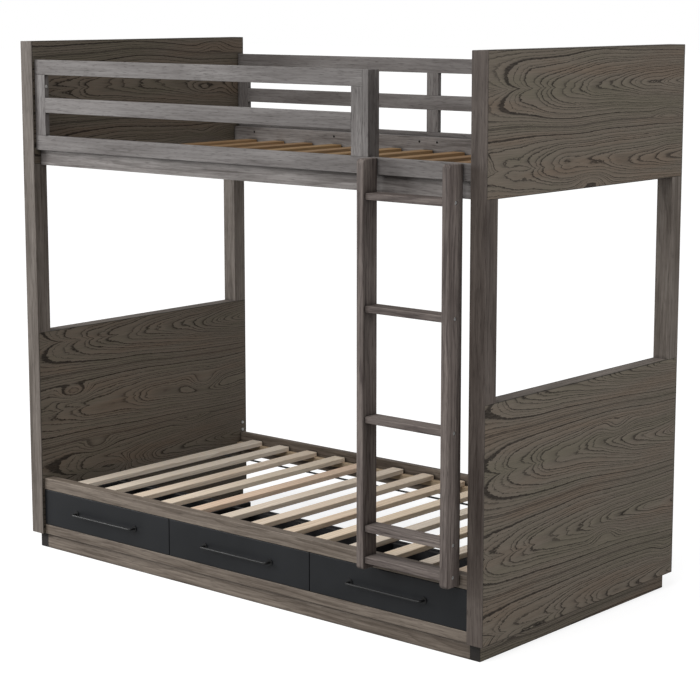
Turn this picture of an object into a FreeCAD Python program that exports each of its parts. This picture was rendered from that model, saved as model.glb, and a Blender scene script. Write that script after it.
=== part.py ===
import FreeCAD, Part
import os
import re
import Sketcher

# A twin-over-twin bunk bed with a bolted ladder and three drawers under the lower bunk. Millimetres.
# X runs along the bed, the ladder and drawers face -Y, Z is up. The origin is on the floor, under the middle
# of the bounding box.

SIZES = {
    # Whole bed, over the two end panels
    "bed_length": 2050,
    "bed_width": 1072,
    "bed_height": 1830,
    # End panels: a post at each edge, four cross rails, and skins above and below a window
    "end_thickness": 58,
    "post_width": 58,
    "skin_thickness": 5,
    "skin_lip": 3,
    "window_sill": 795,
    "window_head_drop": 430,
    "cross_rail_height": 60,
    # Plinth, set in on every side under the end panels
    "plinth_height": 54,
    "plinth_inset": 22,
    "end_plinth_step": 2,
    "front_plinth_thickness": 20,
    # Lower bunk
    "rail_setback": 12,
    "bottom_rail_height": 35,
    "front_rail_depth": 40,
    "front_rail_bottom": 220,
    "lower_rail_top": 261,
    "side_rail_height": 90,
    "side_rail_thickness": 22,
    "lower_slat_drop": 20,
    # Upper bunk
    "upper_rail_drop": 344,
    "upper_slat_drop": 46,
    # Slats, the cleats that they lie on and the webbing straps that tie them together
    "slat_count": 13,
    "slat_width": 52,
    "slat_thickness": 18,
    "slat_margin": 73,
    "slat_end_gap": 5,
    "cleat_width": 20,
    "cleat_height": 22,
    "strap_width": 18,
    "strap_thickness": 1.5,
    "strap_spread": 556,
    # Guards of the upper bunk
    "guard_thickness": 19,
    "guard_board": 52,
    "guard_gap": 80,
    "guard_above_rail": 16,
    "end_stile_width": 45,
    "end_post_thickness": 24,
    "end_post_depth": 53,
    # Ladder
    "ladder_reach": 56,
    "ladder_side_gap": 35,
    "entry_side_gap": 11,
    "ladder_stile_thickness": 27,
    "ladder_clear_width": 300,
    "ladder_above_drawer": 8,
    "rung_thickness": 21,
    "rung_setback": 9,
    "top_rung_drop": 103,
    "first_step": 100,
    "bottom_rung_rise": 9,
    "ladder_nose": 14,
    # Drawers
    "partition_thickness": 18,
    "drawer_gap": 1.5,
    "drawer_front_thickness": 18,
    "drawer_board": 12,
    "drawer_depth": 372,
    "drawer_box_height": 90,
    "drawer_box_lift": 8,
    "drawer_bottom_thickness": 6,
    "drawer_bottom_lift": 6,
    "drawer_groove": 5,
    "back_clearance": 10,
    # Drawer slides: a fixed channel on the bay's wall and a narrower one inside it on the drawer
    "slide_space": 13,
    "slide_length": 350,
    "slide_height": 45,
    "slide_flange": 9,
    "slide_sheet": 1.5,
    "slide_play": 1.5,
    # Bar pulls
    "pull_span": 300,
    "pull_rod": 8,
    "pull_reach": 27,
    "pull_bend": 8,
    "pull_foot": 22,
    "pull_foot_thickness": 3,
    # Bolts and screws
    "bolt_shank": 6,
    "bolt_play": 0.6,
    "bolt_head": 11,
    "bolt_head_height": 3.5,
    "bolt_seat": 13,
    "bolt_seat_depth": 5,
    "bolt_socket": 4,
    "bolt_socket_depth": 2,
    "rung_bolt_length": 60,
    "guard_bolt_length": 66,
    "corner_bolt_length": 40,
    "corner_bolt_rise": 10,
    "corner_bolt_pitch": 29,
    "screw_shank": 4,
    "screw_head": 8,
    "screw_head_height": 2.5,
    "screw_length": 32,
    "screw_seat_depth": 3,
    # Eased edges
    "board_round": 1.5,
    "skin_round": 0.5,
    "strap_round": 0.3,
    "slat_round": 2.5,
    "ladder_round": 4,
}

doc = FreeCAD.newDocument("bunk_bed")
sheet = doc.addObject("Spreadsheet::Sheet", "sizes")
for row, (alias, size) in enumerate(SIZES.items(), start=1):
    sheet.set(f"A{row}", alias)
    sheet.set(f"B{row}", str(size))
    sheet.setAlias(f"B{row}", alias)
doc.recompute()


# Places that several pieces share, as formulas of the sheet's sizes

FRONT = "((ladder_reach - bed_width) / 2)"
REAR = "((ladder_reach + bed_width) / 2)"
LEFT_INSIDE = "(end_thickness - bed_length / 2)"
RIGHT_INSIDE = "(bed_length / 2 - end_thickness)"
FRONT_FACE = f"({FRONT} + rail_setback)"
REAR_FACE = f"({REAR} - rail_setback)"

LOWER_FRONT_INSIDE = f"({FRONT_FACE} + front_rail_depth)"
LOWER_REAR_INSIDE = f"({REAR_FACE} - side_rail_thickness)"
UPPER_FRONT_OUTSIDE = f"({FRONT_FACE} + guard_thickness)"
UPPER_FRONT_INSIDE = f"({UPPER_FRONT_OUTSIDE} + side_rail_thickness)"
UPPER_REAR_OUTSIDE = f"({REAR_FACE} - guard_thickness)"
UPPER_REAR_INSIDE = f"({UPPER_REAR_OUTSIDE} - side_rail_thickness)"

WINDOW_HEAD = "(bed_height - window_head_drop)"
UPPER_RAIL_TOP = "(bed_height - upper_rail_drop)"
LOWER_SLAT_TOP = "(lower_rail_top - lower_slat_drop)"
LOWER_SLAT_BOTTOM = f"({LOWER_SLAT_TOP} - slat_thickness)"
UPPER_SLAT_TOP = f"({UPPER_RAIL_TOP} - upper_slat_drop)"
UPPER_SLAT_BOTTOM = f"({UPPER_SLAT_TOP} - slat_thickness)"
SLAT_PITCH = f"(({RIGHT_INSIDE} - {LEFT_INSIDE} - 2 * slat_margin - slat_width) / (slat_count - 1))"

DRAWER_SILL = "(plinth_height + bottom_rail_height)"
BAY_WIDTH = f"(({RIGHT_INSIDE} - {LEFT_INSIDE} - 2 * partition_thickness) / 3)"
DRAWER_BACK = f"({FRONT_FACE} + drawer_front_thickness + drawer_depth)"
BEAM_FRONT = f"({DRAWER_BACK} + back_clearance)"
BOX_BOTTOM = f"({DRAWER_SILL} + drawer_box_lift)"
BOX_TOP = f"({BOX_BOTTOM} + drawer_box_height)"
DRAWER_MIDDLE = f"(({DRAWER_SILL} + front_rail_bottom) / 2)"

GUARD_LOW = f"({UPPER_RAIL_TOP} + guard_above_rail - guard_board)"
GUARD_LOW_TOP = f"({GUARD_LOW} + guard_board)"
GUARD_MID = f"({GUARD_LOW_TOP} + guard_gap)"
GUARD_MID_TOP = f"({GUARD_MID} + guard_board)"
GUARD_HIGH = f"({GUARD_MID_TOP} + guard_gap)"
GUARD_HIGH_TOP = f"({GUARD_HIGH} + guard_board)"
GUARD_BOLT_HEIGHT = f"({GUARD_HIGH} - guard_gap / 2)"
GUARD_SCREW_HEIGHT = f"(({GUARD_LOW} + {UPPER_RAIL_TOP}) / 2)"

LADDER_RIGHT_OUTSIDE = f"({RIGHT_INSIDE} - ladder_side_gap)"
LADDER_RIGHT_INSIDE = f"({LADDER_RIGHT_OUTSIDE} - ladder_stile_thickness)"
LADDER_LEFT_INSIDE = f"({LADDER_RIGHT_INSIDE} - ladder_clear_width)"
LADDER_LEFT_OUTSIDE = f"({LADDER_LEFT_INSIDE} - ladder_stile_thickness)"
LADDER_FRONT = f"({FRONT} - ladder_reach)"
END_POST_RIGHT = f"({LADDER_LEFT_OUTSIDE} - entry_side_gap)"
END_POST_LEFT = f"({END_POST_RIGHT} - end_post_thickness)"
END_STILE_LEFT = f"({END_POST_LEFT} - end_stile_width)"
LADDER_BOTTOM = "(front_rail_bottom + ladder_above_drawer)"
TOP_RUNG = f"({GUARD_LOW_TOP} - top_rung_drop)"
BOTTOM_RUNG = "(lower_rail_top + bottom_rung_rise)"
RUNG_PITCH = f"(({TOP_RUNG} - {BOTTOM_RUNG} - first_step) / 3)"
RUNG_TOPS = [f"({TOP_RUNG} - {step} * {RUNG_PITCH})" for step in range(4)] + [BOTTOM_RUNG]
RUNG_BOLT_HEIGHTS = [f"({top} - rung_thickness / 2)" for top in RUNG_TOPS]
RUNG_BOLT_Y = f"(({LADDER_FRONT} + {FRONT_FACE}) / 2)"

CORNER_BOLT_HEIGHTS = [f"(lower_rail_top + corner_bolt_rise + {step} * corner_bolt_pitch)"
                       for step in range(2)]
CORNER_BOLT_Y = f"(({LOWER_REAR_INSIDE} + {REAR_FACE}) / 2)"
FRONT_GUARD_MIDDLE = f"({FRONT_FACE} + guard_thickness / 2)"
REAR_GUARD_MIDDLE = f"({REAR_FACE} - guard_thickness / 2)"
BOLT_HOLE = "(bolt_shank + bolt_play)"
SCREW_HOLE = "(screw_shank + bolt_play)"
SCREW_SEAT = "(screw_head + 2 * bolt_play)"
SCREW_SHARES = (-0.445, -0.233, -0.021, 0.021, 0.233, 0.445)
SCREW_PLACES = [f"({share} * ({RIGHT_INSIDE} - {LEFT_INSIDE}))" for share in SCREW_SHARES]

PLANES = {"x": "YZ_Plane", "y": "XZ_Plane", "z": "XY_Plane"}
ALONG_X = FreeCAD.Rotation(FreeCAD.Vector(0, 1, 0), 90)
ALONG_MINUS_X = FreeCAD.Rotation(FreeCAD.Vector(0, 1, 0), -90)
ALONG_Y = FreeCAD.Rotation(FreeCAD.Vector(1, 0, 0), -90)
ALONG_MINUS_Y = FreeCAD.Rotation(FreeCAD.Vector(1, 0, 0), 90)

nodes = []


# Tools that the pieces below are made with

def formula(text):
    """The text with each size's name pointing at the sheet."""
    return re.sub(r"[a-z][a-z_]+", lambda name: "sizes." + name.group(0), text)


def number(text):
    """What a formula comes to with the sheet's present sizes."""
    return float(sheet.evalExpression(re.sub(r"[a-z][a-z_]+", lambda name: "." + name.group(0), text)))


def place(piece, x, y, z):
    """Bind the place of a piece's own origin."""
    piece.setExpression("Placement.Base.x", formula(x))
    piece.setExpression("Placement.Base.y", formula(y))
    piece.setExpression("Placement.Base.z", formula(z))


def new_body(label, corner):
    """An empty body whose origin is at the given corner."""
    body = doc.addObject("PartDesign::Body", label)
    body.Label = label
    place(body, *corner)
    return body


def origin_feature(body, role):
    """One of the body's own origin planes or axes."""
    return next(part for part in body.Origin.OriginFeatures if part.Role == role)


def new_sketch(body, name, plane, height="0"):
    """A sketch on one of the body's origin planes, or parallel to it at a height."""
    sketch = body.newObject("Sketcher::SketchObject", f"{body.Label}_{name}")
    sketch.AttachmentSupport = [(origin_feature(body, plane), "")]
    sketch.MapMode = "FlatFace"
    sketch.setExpression("AttachmentOffset.Base.z", formula(height))
    return sketch


def bind(sketch, kind, line, end, text):
    """Hold one coordinate of a line's end, or of a curve's centre, at a place that follows the sheet."""
    index = sketch.addConstraint(Sketcher.Constraint(kind, -1, 1, line, end, number(text)))
    sketch.renameConstraint(index, f"{kind}{index}")
    sketch.setExpression(f"Constraints.{kind}{index}", formula(text))


def bind_point(sketch, line, end, across, up):
    """Hold both coordinates."""
    bind(sketch, "DistanceX", line, end, across)
    bind(sketch, "DistanceY", line, end, up)


def draw_outline(sketch, points):
    """A closed outline of straight lines through points that follow the sheet."""
    first = sketch.GeometryCount
    places = [FreeCAD.Vector(number(across), number(up), 0) for across, up in points]
    for index, start in enumerate(places):
        sketch.addGeometry(Part.LineSegment(start, places[(index + 1) % len(places)]), False)
    for index, (across, up) in enumerate(points):
        following = first + (index + 1) % len(points)
        sketch.addConstraint(Sketcher.Constraint("Coincident", first + index, 2, following, 1))
        bind_point(sketch, first + index, 1, across, up)


def draw_rectangle(sketch, across, up):
    """A rectangle between two places across and two places up."""
    corners = [(across[0], up[0]), (across[1], up[0]), (across[1], up[1]), (across[0], up[1])]
    draw_outline(sketch, corners)


def draw_circle(sketch, across, up, diameter):
    """A circle whose centre and diameter follow the sheet."""
    centre = FreeCAD.Vector(number(across), number(up), 0)
    circle = sketch.addGeometry(Part.Circle(centre, FreeCAD.Vector(0, 0, 1), number(diameter) / 2), False)
    bind_point(sketch, circle, 3, across, up)
    size = sketch.addConstraint(Sketcher.Constraint("Diameter", circle, number(diameter)))
    sketch.renameConstraint(size, f"Diameter{size}")
    sketch.setExpression(f"Constraints.Diameter{size}", formula(diameter))


def add_feature(body, kind, name, **settings):
    """A feature of the body, made its tip. A text setting is a formula of the sheet."""
    feature = body.newObject(f"PartDesign::{kind}", f"{body.Label}_{name}")
    for setting, given in settings.items():
        if isinstance(given, str) and setting != "Mode":
            feature.setExpression(setting, formula(given))
        else:
            setattr(feature, setting, given)
    body.Tip = feature
    return feature


def repeat(body, name, feature, pitch, count):
    """The body's first feature repeated along X."""
    doc.recompute()
    add_feature(body, "LinearPattern", name, Originals=[feature],
                Direction=(origin_feature(body, "X_Axis"), [""]),
                Mode="Spacing", Offset=pitch, Occurrences=count)


def ease_edges(body, radius):
    """Round every edge of the body as it is so far."""
    doc.recompute()
    add_feature(body, "Fillet", "eased_edges", Base=(body.Tip, ["Edge1"]), UseAllEdges=True, Radius=radius)


def finish(piece):
    """Keep a finished piece as a node."""
    nodes.append(piece)
    return piece


def planks(label, x, y, z, eased="board_round"):
    """One or more planks with square ends. The direction given as one pair is the same for all of them, and
    the other two directions are lists, with a pair for each plank."""
    spans = {"x": x, "y": y, "z": z}
    run = next(axis for axis, span in spans.items() if isinstance(span, tuple))
    across, up = [axis for axis in "xyz" if axis != run]
    corner = {run: spans[run][0], across: spans[across][0][0], up: spans[up][0][0]}
    body = new_body(label, [corner[axis] for axis in "xyz"])
    sketch = new_sketch(body, "section", PLANES[run])
    for across_span, up_span in zip(spans[across], spans[up]):
        draw_rectangle(sketch, [f"({edge} - {corner[across]})" for edge in across_span],
                       [f"({edge} - {corner[up]})" for edge in up_span])
    add_feature(body, "Pad", "length", Profile=sketch, Length=f"({spans[run][1]} - {spans[run][0]})",
                Reversed=run == "y")
    ease_edges(body, eased)
    return body


def plank(label, x, y, z, eased="board_round"):
    """A single plank between two places in each direction."""
    return planks(label, x, [y], [z], eased)


def bore(body, name, plane, face, centres, diameter, depth, backwards=False):
    """Round holes cut into the body from a face parallel to one of its origin planes."""
    sketch = new_sketch(body, name + "_centres", plane, face)
    for across, up in centres:
        draw_circle(sketch, across, up, diameter)
    add_feature(body, "Pocket", name, Profile=sketch, Length=depth, Reversed=backwards)


def cylinder(name, radius, height, x, y, z, rotation):
    """A plain cylinder that starts at a place and runs the way that the rotation turns it."""
    piece = doc.addObject("Part::Cylinder", name)
    piece.setExpression("Radius", formula(radius))
    piece.setExpression("Height", formula(height))
    piece.Placement.Rotation = rotation
    place(piece, x, y, z)
    return piece


def bolt(name, seat, rotation, shank_diameter, head_diameter, head_height, length):
    """A socket-head bolt. Its head sits on the seat, and its shank runs on from there."""
    shank = cylinder(name + "_shank", f"({shank_diameter} / 2)", length, *seat, rotation)
    head = cylinder(name + "_head", f"({head_diameter} / 2)", head_height, *seat,
                    rotation * FreeCAD.Rotation(FreeCAD.Vector(1, 0, 0), 180))
    whole = doc.addObject("Part::Fuse", name + "_blank")
    whole.Base = head
    whole.Tool = shank
    socket = doc.addObject("Part::Prism", name + "_socket")
    socket.Polygon = 6
    socket.setExpression("Circumradius", formula("bolt_socket / 2"))
    socket.setExpression("Height", formula("bolt_socket_depth + bolt_head_height"))
    socket.Placement.Rotation = head.Placement.Rotation
    way = head.Placement.Rotation.multVec(FreeCAD.Vector(0, 0, 1))
    start = [f"({middle} + {round(step)} * ({head_height} - bolt_socket_depth))"
             for middle, step in zip(seat, way)]
    place(socket, *start)
    piece = doc.addObject("Part::Cut", name)
    piece.Base = whole
    piece.Tool = socket
    return piece


def group(label, pieces):
    """Separate pieces of one kind that share a node."""
    compound = doc.addObject("Part::Compound", label)
    compound.Label = label
    compound.Links = pieces
    return finish(compound)


# End panels. Both are the same, mirrored. The posts are rebated for the skins and leave a narrow lip at the
# panel's front and rear edges, so the skins lie flush with the posts beside the window.

def end_span(side, near, far):
    """The span between two depths into an end panel, measured from its outer face."""
    if side == "left":
        return (f"({near} - bed_length / 2)", f"({far} - bed_length / 2)")
    return (f"(bed_length / 2 - {far})", f"(bed_length / 2 - {near})")


def end_post(side, edge):
    """A post of an end panel, with its rebates and the bolt holes in its inner face."""
    low_y = FRONT if edge == "front" else f"({REAR} - post_width)"
    body = new_body(f"{side}_{edge}_post", (end_span(side, "0", "end_thickness")[0], low_y, "plinth_height"))
    section = new_sketch(body, "section", "XY_Plane")
    draw_rectangle(section, ("0", "end_thickness"), ("0", "post_width"))
    add_feature(body, "Pad", "height", Profile=section, Length="(bed_height - plinth_height)")
    ease_edges(body, "board_round")
    skinned = ("skin_lip", "post_width") if edge == "front" else ("0", "(post_width - skin_lip)")
    zones = {"upper": ("(bed_height - plinth_height)", "window_head_drop"),
             "lower": ("(window_sill - plinth_height)", "(window_sill - plinth_height)")}
    for zone, (top, height) in zones.items():
        rebates = new_sketch(body, zone + "_rebate_section", "XY_Plane", top)
        draw_rectangle(rebates, ("0", "skin_thickness"), skinned)
        draw_rectangle(rebates, ("(end_thickness - skin_thickness)", "end_thickness"), skinned)
        add_feature(body, "Pocket", zone + "_rebates", Profile=rebates, Length=height)
    inner_face = "end_thickness" if side == "left" else "0"
    if (side, edge) != ("right", "front"):
        middle = FRONT_GUARD_MIDDLE if edge == "front" else REAR_GUARD_MIDDLE
        centre = (f"({middle} - {low_y})", f"({GUARD_BOLT_HEIGHT} - plinth_height)")
        bore(body, "guard_bolt_hole", "YZ_Plane", inner_face, [centre], BOLT_HOLE,
             "(guard_bolt_length + bolt_seat_depth + bolt_play - guard_board)", side == "right")
    if edge == "rear":
        centres = [(f"({CORNER_BOLT_Y} - {low_y})", f"({height} - plinth_height)")
                   for height in CORNER_BOLT_HEIGHTS]
        bore(body, "corner_bolt_holes", "YZ_Plane", inner_face, centres, BOLT_HOLE,
             "(corner_bolt_length + bolt_play)", side == "right")
    return finish(body)


def end_skins(side):
    """The four grained boards over an end panel's frame, inside and out, above and below the window."""
    skin_y = (f"({FRONT} + skin_lip)", f"({REAR} - skin_lip)")
    zones = {"upper": (WINDOW_HEAD, "bed_height"), "lower": ("plinth_height", "window_sill")}
    faces = {"outer": end_span(side, "0", "skin_thickness"),
             "inner": end_span(side, "(end_thickness - skin_thickness)", "end_thickness")}
    for zone, skin_z in zones.items():
        for face, skin_x in faces.items():
            skin = plank(f"{side}_{zone}_{face}_skin", skin_x, skin_y, skin_z, "skin_round")
            if face == "inner":
                bore_inner_skin(skin, side, zone, skin_y[0], skin_z[0])
            finish(skin)


def bore_inner_skin(skin, side, zone, low_y, low_z):
    """Let the bolts through an inner skin into the post behind it."""
    if zone == "lower":
        middles = [(CORNER_BOLT_Y, height) for height in CORNER_BOLT_HEIGHTS]
    elif side == "left":
        middles = [(FRONT_GUARD_MIDDLE, GUARD_BOLT_HEIGHT), (REAR_GUARD_MIDDLE, GUARD_BOLT_HEIGHT)]
    else:
        middles = [(REAR_GUARD_MIDDLE, GUARD_BOLT_HEIGHT)]
    centres = [(f"({y} - {low_y})", f"({z} - {low_z})") for y, z in middles]
    bore(skin, "bolt_holes", "YZ_Plane", "skin_thickness", centres, BOLT_HOLE, "skin_thickness")


def end_cross_rails(side):
    """The four boards between an end panel's posts. Two of them close the window above and below."""
    rail_x = end_span(side, "skin_thickness", "(end_thickness - skin_thickness)")
    rail_y = (f"({FRONT} + post_width)", f"({REAR} - post_width)")
    rail_z = [("plinth_height", "(plinth_height + cross_rail_height)"),
              ("(window_sill - cross_rail_height)", "window_sill"),
              (WINDOW_HEAD, f"({WINDOW_HEAD} + cross_rail_height)"),
              ("(bed_height - cross_rail_height)", "bed_height")]
    return finish(planks(f"{side}_cross_rails", [rail_x] * len(rail_z), rail_y, rail_z, "skin_round"))


for side in ("left", "right"):
    end_post(side, "front")
    end_post(side, "rear")
    end_cross_rails(side)
    end_skins(side)


# Plinth: a board under each end panel, a step wider than the panel on the inside, and one along the front.
# The rear is open at the floor.

plinth_y = (f"({FRONT} + plinth_inset)", f"({REAR} - plinth_inset)")
plinth_spans = [end_span(side, "plinth_inset", "(end_thickness + end_plinth_step)")
                for side in ("left", "right")]
finish(planks("end_plinths", plinth_spans, plinth_y, [("0", "plinth_height")] * 2))
finish(plank("front_plinth", (plinth_spans[0][1], plinth_spans[1][0]),
             (plinth_y[0], f"({plinth_y[0]} + front_plinth_thickness)"), ("0", "plinth_height")))


# Frame of the lower bunk. The thick front rail carries the slats over the drawers, the rail under them closes
# the front, and the back beam joins the partitions behind the drawers.

inside_x = (LEFT_INSIDE, RIGHT_INSIDE)
front_rail_y = (FRONT_FACE, LOWER_FRONT_INSIDE)
finish(plank("drawer_bottom_rail", inside_x, front_rail_y, ("plinth_height", DRAWER_SILL)))
finish(plank("lower_front_rail", inside_x, front_rail_y, ("front_rail_bottom", "lower_rail_top")))
finish(plank("lower_rear_rail", inside_x, (LOWER_REAR_INSIDE, REAR_FACE),
             ("(lower_rail_top - side_rail_height)", "lower_rail_top")))
finish(plank("drawer_back_beam", inside_x, (BEAM_FRONT, f"({BEAM_FRONT} + side_rail_thickness)"),
             ("plinth_height", "(plinth_height + side_rail_height)")))


def drawer_partitions():
    """Two upright boards between the drawers. Each fills the height under the front rail and steps down
    behind it, where the front cleat lies on it."""
    low_x = f"({LEFT_INSIDE} + {BAY_WIDTH})"
    low_y = f"({FRONT_FACE} + drawer_front_thickness + drawer_gap)"
    body = new_body("drawer_partitions", (low_x, low_y, DRAWER_SILL))
    outline = new_sketch(body, "outline", "YZ_Plane")
    back = f"({BEAM_FRONT} - {low_y})"
    step = f"({LOWER_FRONT_INSIDE} - {low_y})"
    cleat_bed = f"({LOWER_SLAT_BOTTOM} - cleat_height - {DRAWER_SILL})"
    top = f"(front_rail_bottom - {DRAWER_SILL})"
    draw_outline(outline, [("0", "0"), (back, "0"), (back, cleat_bed), (step, cleat_bed), (step, top),
                           ("0", top)])
    board = add_feature(body, "Pad", "thickness", Profile=outline, Length="partition_thickness")
    repeat(body, "pair", board, f"({BAY_WIDTH} + partition_thickness)", 2)
    ease_edges(body, "skin_round")
    return finish(body)


drawer_partitions()


# Side rails of the upper bunk, one behind each guard

upper_rail_z = (f"({UPPER_RAIL_TOP} - side_rail_height)", UPPER_RAIL_TOP)


def upper_side_rail(label, y, guard_side):
    """A side rail, bored for the screws that hold the guard's bottom board to it."""
    body = plank(label, inside_x, y, upper_rail_z)
    centres = [(f"({offset} - {LEFT_INSIDE})", f"({GUARD_SCREW_HEIGHT} - {upper_rail_z[0]})")
               for offset in SCREW_PLACES]
    front = guard_side == "front"
    inner_face = "(-side_rail_thickness)" if front else "0"
    bore(body, "screw_holes", "XZ_Plane", inner_face, centres, SCREW_HOLE, "side_rail_thickness", front)
    bore(body, "screw_seats", "XZ_Plane", inner_face, centres, SCREW_SEAT, "screw_seat_depth", front)
    return finish(body)


upper_side_rail("upper_front_rail", (UPPER_FRONT_OUTSIDE, UPPER_FRONT_INSIDE), "front")
upper_side_rail("upper_rear_rail", (UPPER_REAR_INSIDE, UPPER_REAR_OUTSIDE), "rear")


# Slats of both bunks. They lie loose on cleats and hang together by two webbing straps stapled under them.

lower_slat_y = (f"({LOWER_FRONT_INSIDE} + slat_end_gap)", f"({LOWER_REAR_INSIDE} - slat_end_gap)")
upper_slat_y = (f"({UPPER_FRONT_INSIDE} + slat_end_gap)", f"({UPPER_REAR_INSIDE} - slat_end_gap)")
slat_x = (f"({LEFT_INSIDE} + slat_margin)", f"({RIGHT_INSIDE} - slat_margin)")


def slat_row(label, y, bottom):
    """A bunk's slats, evenly spaced along it."""
    body = new_body(label, (slat_x[0], y[0], bottom))
    outline = new_sketch(body, "outline", "XY_Plane")
    draw_rectangle(outline, ("0", "slat_width"), ("0", f"({y[1]} - {y[0]})"))
    slat = add_feature(body, "Pad", "thickness", Profile=outline, Length="slat_thickness")
    repeat(body, "row", slat, SLAT_PITCH, "slat_count")
    ease_edges(body, "slat_round")
    return finish(body)


def beside(place_y, width):
    """The span of a piece that starts at a place and is so wide, towards the rear."""
    return (place_y, f"({place_y} + {width})")


def before(place_y, width):
    """The span of a piece that ends at a place and is so wide, towards the front."""
    return (f"({place_y} - {width})", place_y)


slat_row("lower_slats", lower_slat_y, LOWER_SLAT_BOTTOM)
slat_row("upper_slats", upper_slat_y, UPPER_SLAT_BOTTOM)

lower_cleat_z = before(LOWER_SLAT_BOTTOM, "cleat_height")
upper_cleat_z = before(UPPER_SLAT_BOTTOM, "cleat_height")
finish(planks("slat_cleats", inside_x,
              [beside(LOWER_FRONT_INSIDE, "cleat_width"), before(LOWER_REAR_INSIDE, "cleat_width"),
               beside(UPPER_FRONT_INSIDE, "cleat_width"), before(UPPER_REAR_INSIDE, "cleat_width")],
              [lower_cleat_z, lower_cleat_z, upper_cleat_z, upper_cleat_z]))

strap_y = []
strap_z = []
for slat_y, slat_bottom in ((lower_slat_y, LOWER_SLAT_BOTTOM), (upper_slat_y, UPPER_SLAT_BOTTOM)):
    for way in ("-", "+"):
        middle = f"(({slat_y[0]} + {slat_y[1]}) / 2 {way} strap_spread / 2)"
        strap_y.append((f"({middle} - strap_width / 2)", f"({middle} + strap_width / 2)"))
        strap_z.append(before(slat_bottom, "strap_thickness"))
finish(planks("slat_straps", slat_x, strap_y, strap_z, "strap_round"))


# Guards of the upper bunk. Both have three boards one above another with stiles between them. The front one
# stops short of the right end to leave the way in from the ladder, and a deeper post closes it there.

front_guard_y = (FRONT_FACE, UPPER_FRONT_OUTSIDE)
rear_guard_y = (UPPER_REAR_OUTSIDE, REAR_FACE)
guard_low_z = (GUARD_LOW, GUARD_LOW_TOP)
guard_mid_z = (GUARD_MID, GUARD_MID_TOP)
guard_high_z = (GUARD_HIGH, GUARD_HIGH_TOP)
guard_stile_z = (GUARD_LOW_TOP, GUARD_HIGH)
left_stile_x = (LEFT_INSIDE, f"({LEFT_INSIDE} + guard_board)")
right_stile_x = (f"({RIGHT_INSIDE} - guard_board)", RIGHT_INSIDE)


def guard_low_board(label, y, screw_face, backwards):
    """A guard's lowest board, bored part way for the screws that come through the side rail."""
    body = plank(label, inside_x, y, guard_low_z)
    centres = [(f"({offset} - {LEFT_INSIDE})", f"({GUARD_SCREW_HEIGHT} - {GUARD_LOW})")
               for offset in SCREW_PLACES]
    depth = "(screw_length + screw_seat_depth + bolt_play - side_rail_thickness)"
    bore(body, "screw_holes", "XZ_Plane", screw_face, centres, SCREW_HOLE, depth, backwards)
    return finish(body)


def bore_guard_stile(body, faces, heights):
    """The hole along a guard stile for its bolt, and the round seat that the bolt's head is sunk in."""
    for name, (face, backwards) in faces.items():
        centre = [("(guard_thickness / 2)", heights)]
        bore(body, name + "_bolt_hole", "YZ_Plane", face, centre, BOLT_HOLE, "guard_board", backwards)
        bore(body, name + "_bolt_seat", "YZ_Plane", face, centre, "bolt_seat", "bolt_seat_depth", backwards)


guard_bolt_up = f"({GUARD_BOLT_HEIGHT} - {GUARD_LOW_TOP})"

guard_low_board("front_guard_bottom_rail", front_guard_y, "(-guard_thickness)", True)
finish(plank("front_guard_mid_rail", (left_stile_x[1], END_STILE_LEFT), front_guard_y, guard_mid_z))
finish(plank("front_guard_top_rail", (LEFT_INSIDE, END_POST_LEFT), front_guard_y, guard_high_z))
finish(plank("front_guard_right_stile", (END_STILE_LEFT, END_POST_LEFT), front_guard_y, guard_stile_z))
front_left_stile = plank("front_guard_left_stile", left_stile_x, front_guard_y, guard_stile_z)
bore_guard_stile(front_left_stile, {"left": ("guard_board", False)}, guard_bolt_up)
finish(front_left_stile)


def front_guard_end_post():
    """The post beside the way in. It stands on the guard's lowest board and, behind it, on the side rail."""
    body = new_body("front_guard_end_post", (END_POST_LEFT, FRONT_FACE, UPPER_RAIL_TOP))
    outline = new_sketch(body, "outline", "YZ_Plane")
    rise = f"({GUARD_LOW_TOP} - {UPPER_RAIL_TOP})"
    top = f"({GUARD_HIGH_TOP} - {UPPER_RAIL_TOP})"
    draw_outline(outline, [("guard_thickness", "0"), ("end_post_depth", "0"), ("end_post_depth", top),
                           ("0", top), ("0", rise), ("guard_thickness", rise)])
    add_feature(body, "Pad", "thickness", Profile=outline, Length="end_post_thickness")
    ease_edges(body, "board_round")
    return finish(body)


front_guard_end_post()

guard_low_board("rear_guard_bottom_rail", rear_guard_y, "0", False)
finish(plank("rear_guard_mid_rail", (left_stile_x[1], right_stile_x[0]), rear_guard_y, guard_mid_z))
finish(plank("rear_guard_top_rail", inside_x, rear_guard_y, guard_high_z))
middle_block_x = ("(-guard_board / 2)", "(guard_board / 2)")
rear_stiles = planks("rear_guard_stiles", [left_stile_x, right_stile_x, middle_block_x, middle_block_x],
                     rear_guard_y,
                     [guard_stile_z, guard_stile_z, (GUARD_LOW_TOP, GUARD_MID), (GUARD_MID_TOP, GUARD_HIGH)])
bore_guard_stile(rear_stiles, {"left": ("guard_board", False),
                               "right": (f"({right_stile_x[0]} - {LEFT_INSIDE})", True)}, guard_bolt_up)
finish(rear_stiles)


# Ladder. Its stiles stand against the front rails of both bunks and end above the drawers. A bolt through the
# stile holds each end of every rung.

ladder_y = (LADDER_FRONT, FRONT_FACE)
rung_x = (LADDER_LEFT_INSIDE, LADDER_RIGHT_INSIDE)
rung_y = (f"({LADDER_FRONT} + rung_setback)", FRONT_FACE)
rung_bolt_depth = "(rung_bolt_length + bolt_seat_depth + bolt_play - ladder_stile_thickness)"


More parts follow.
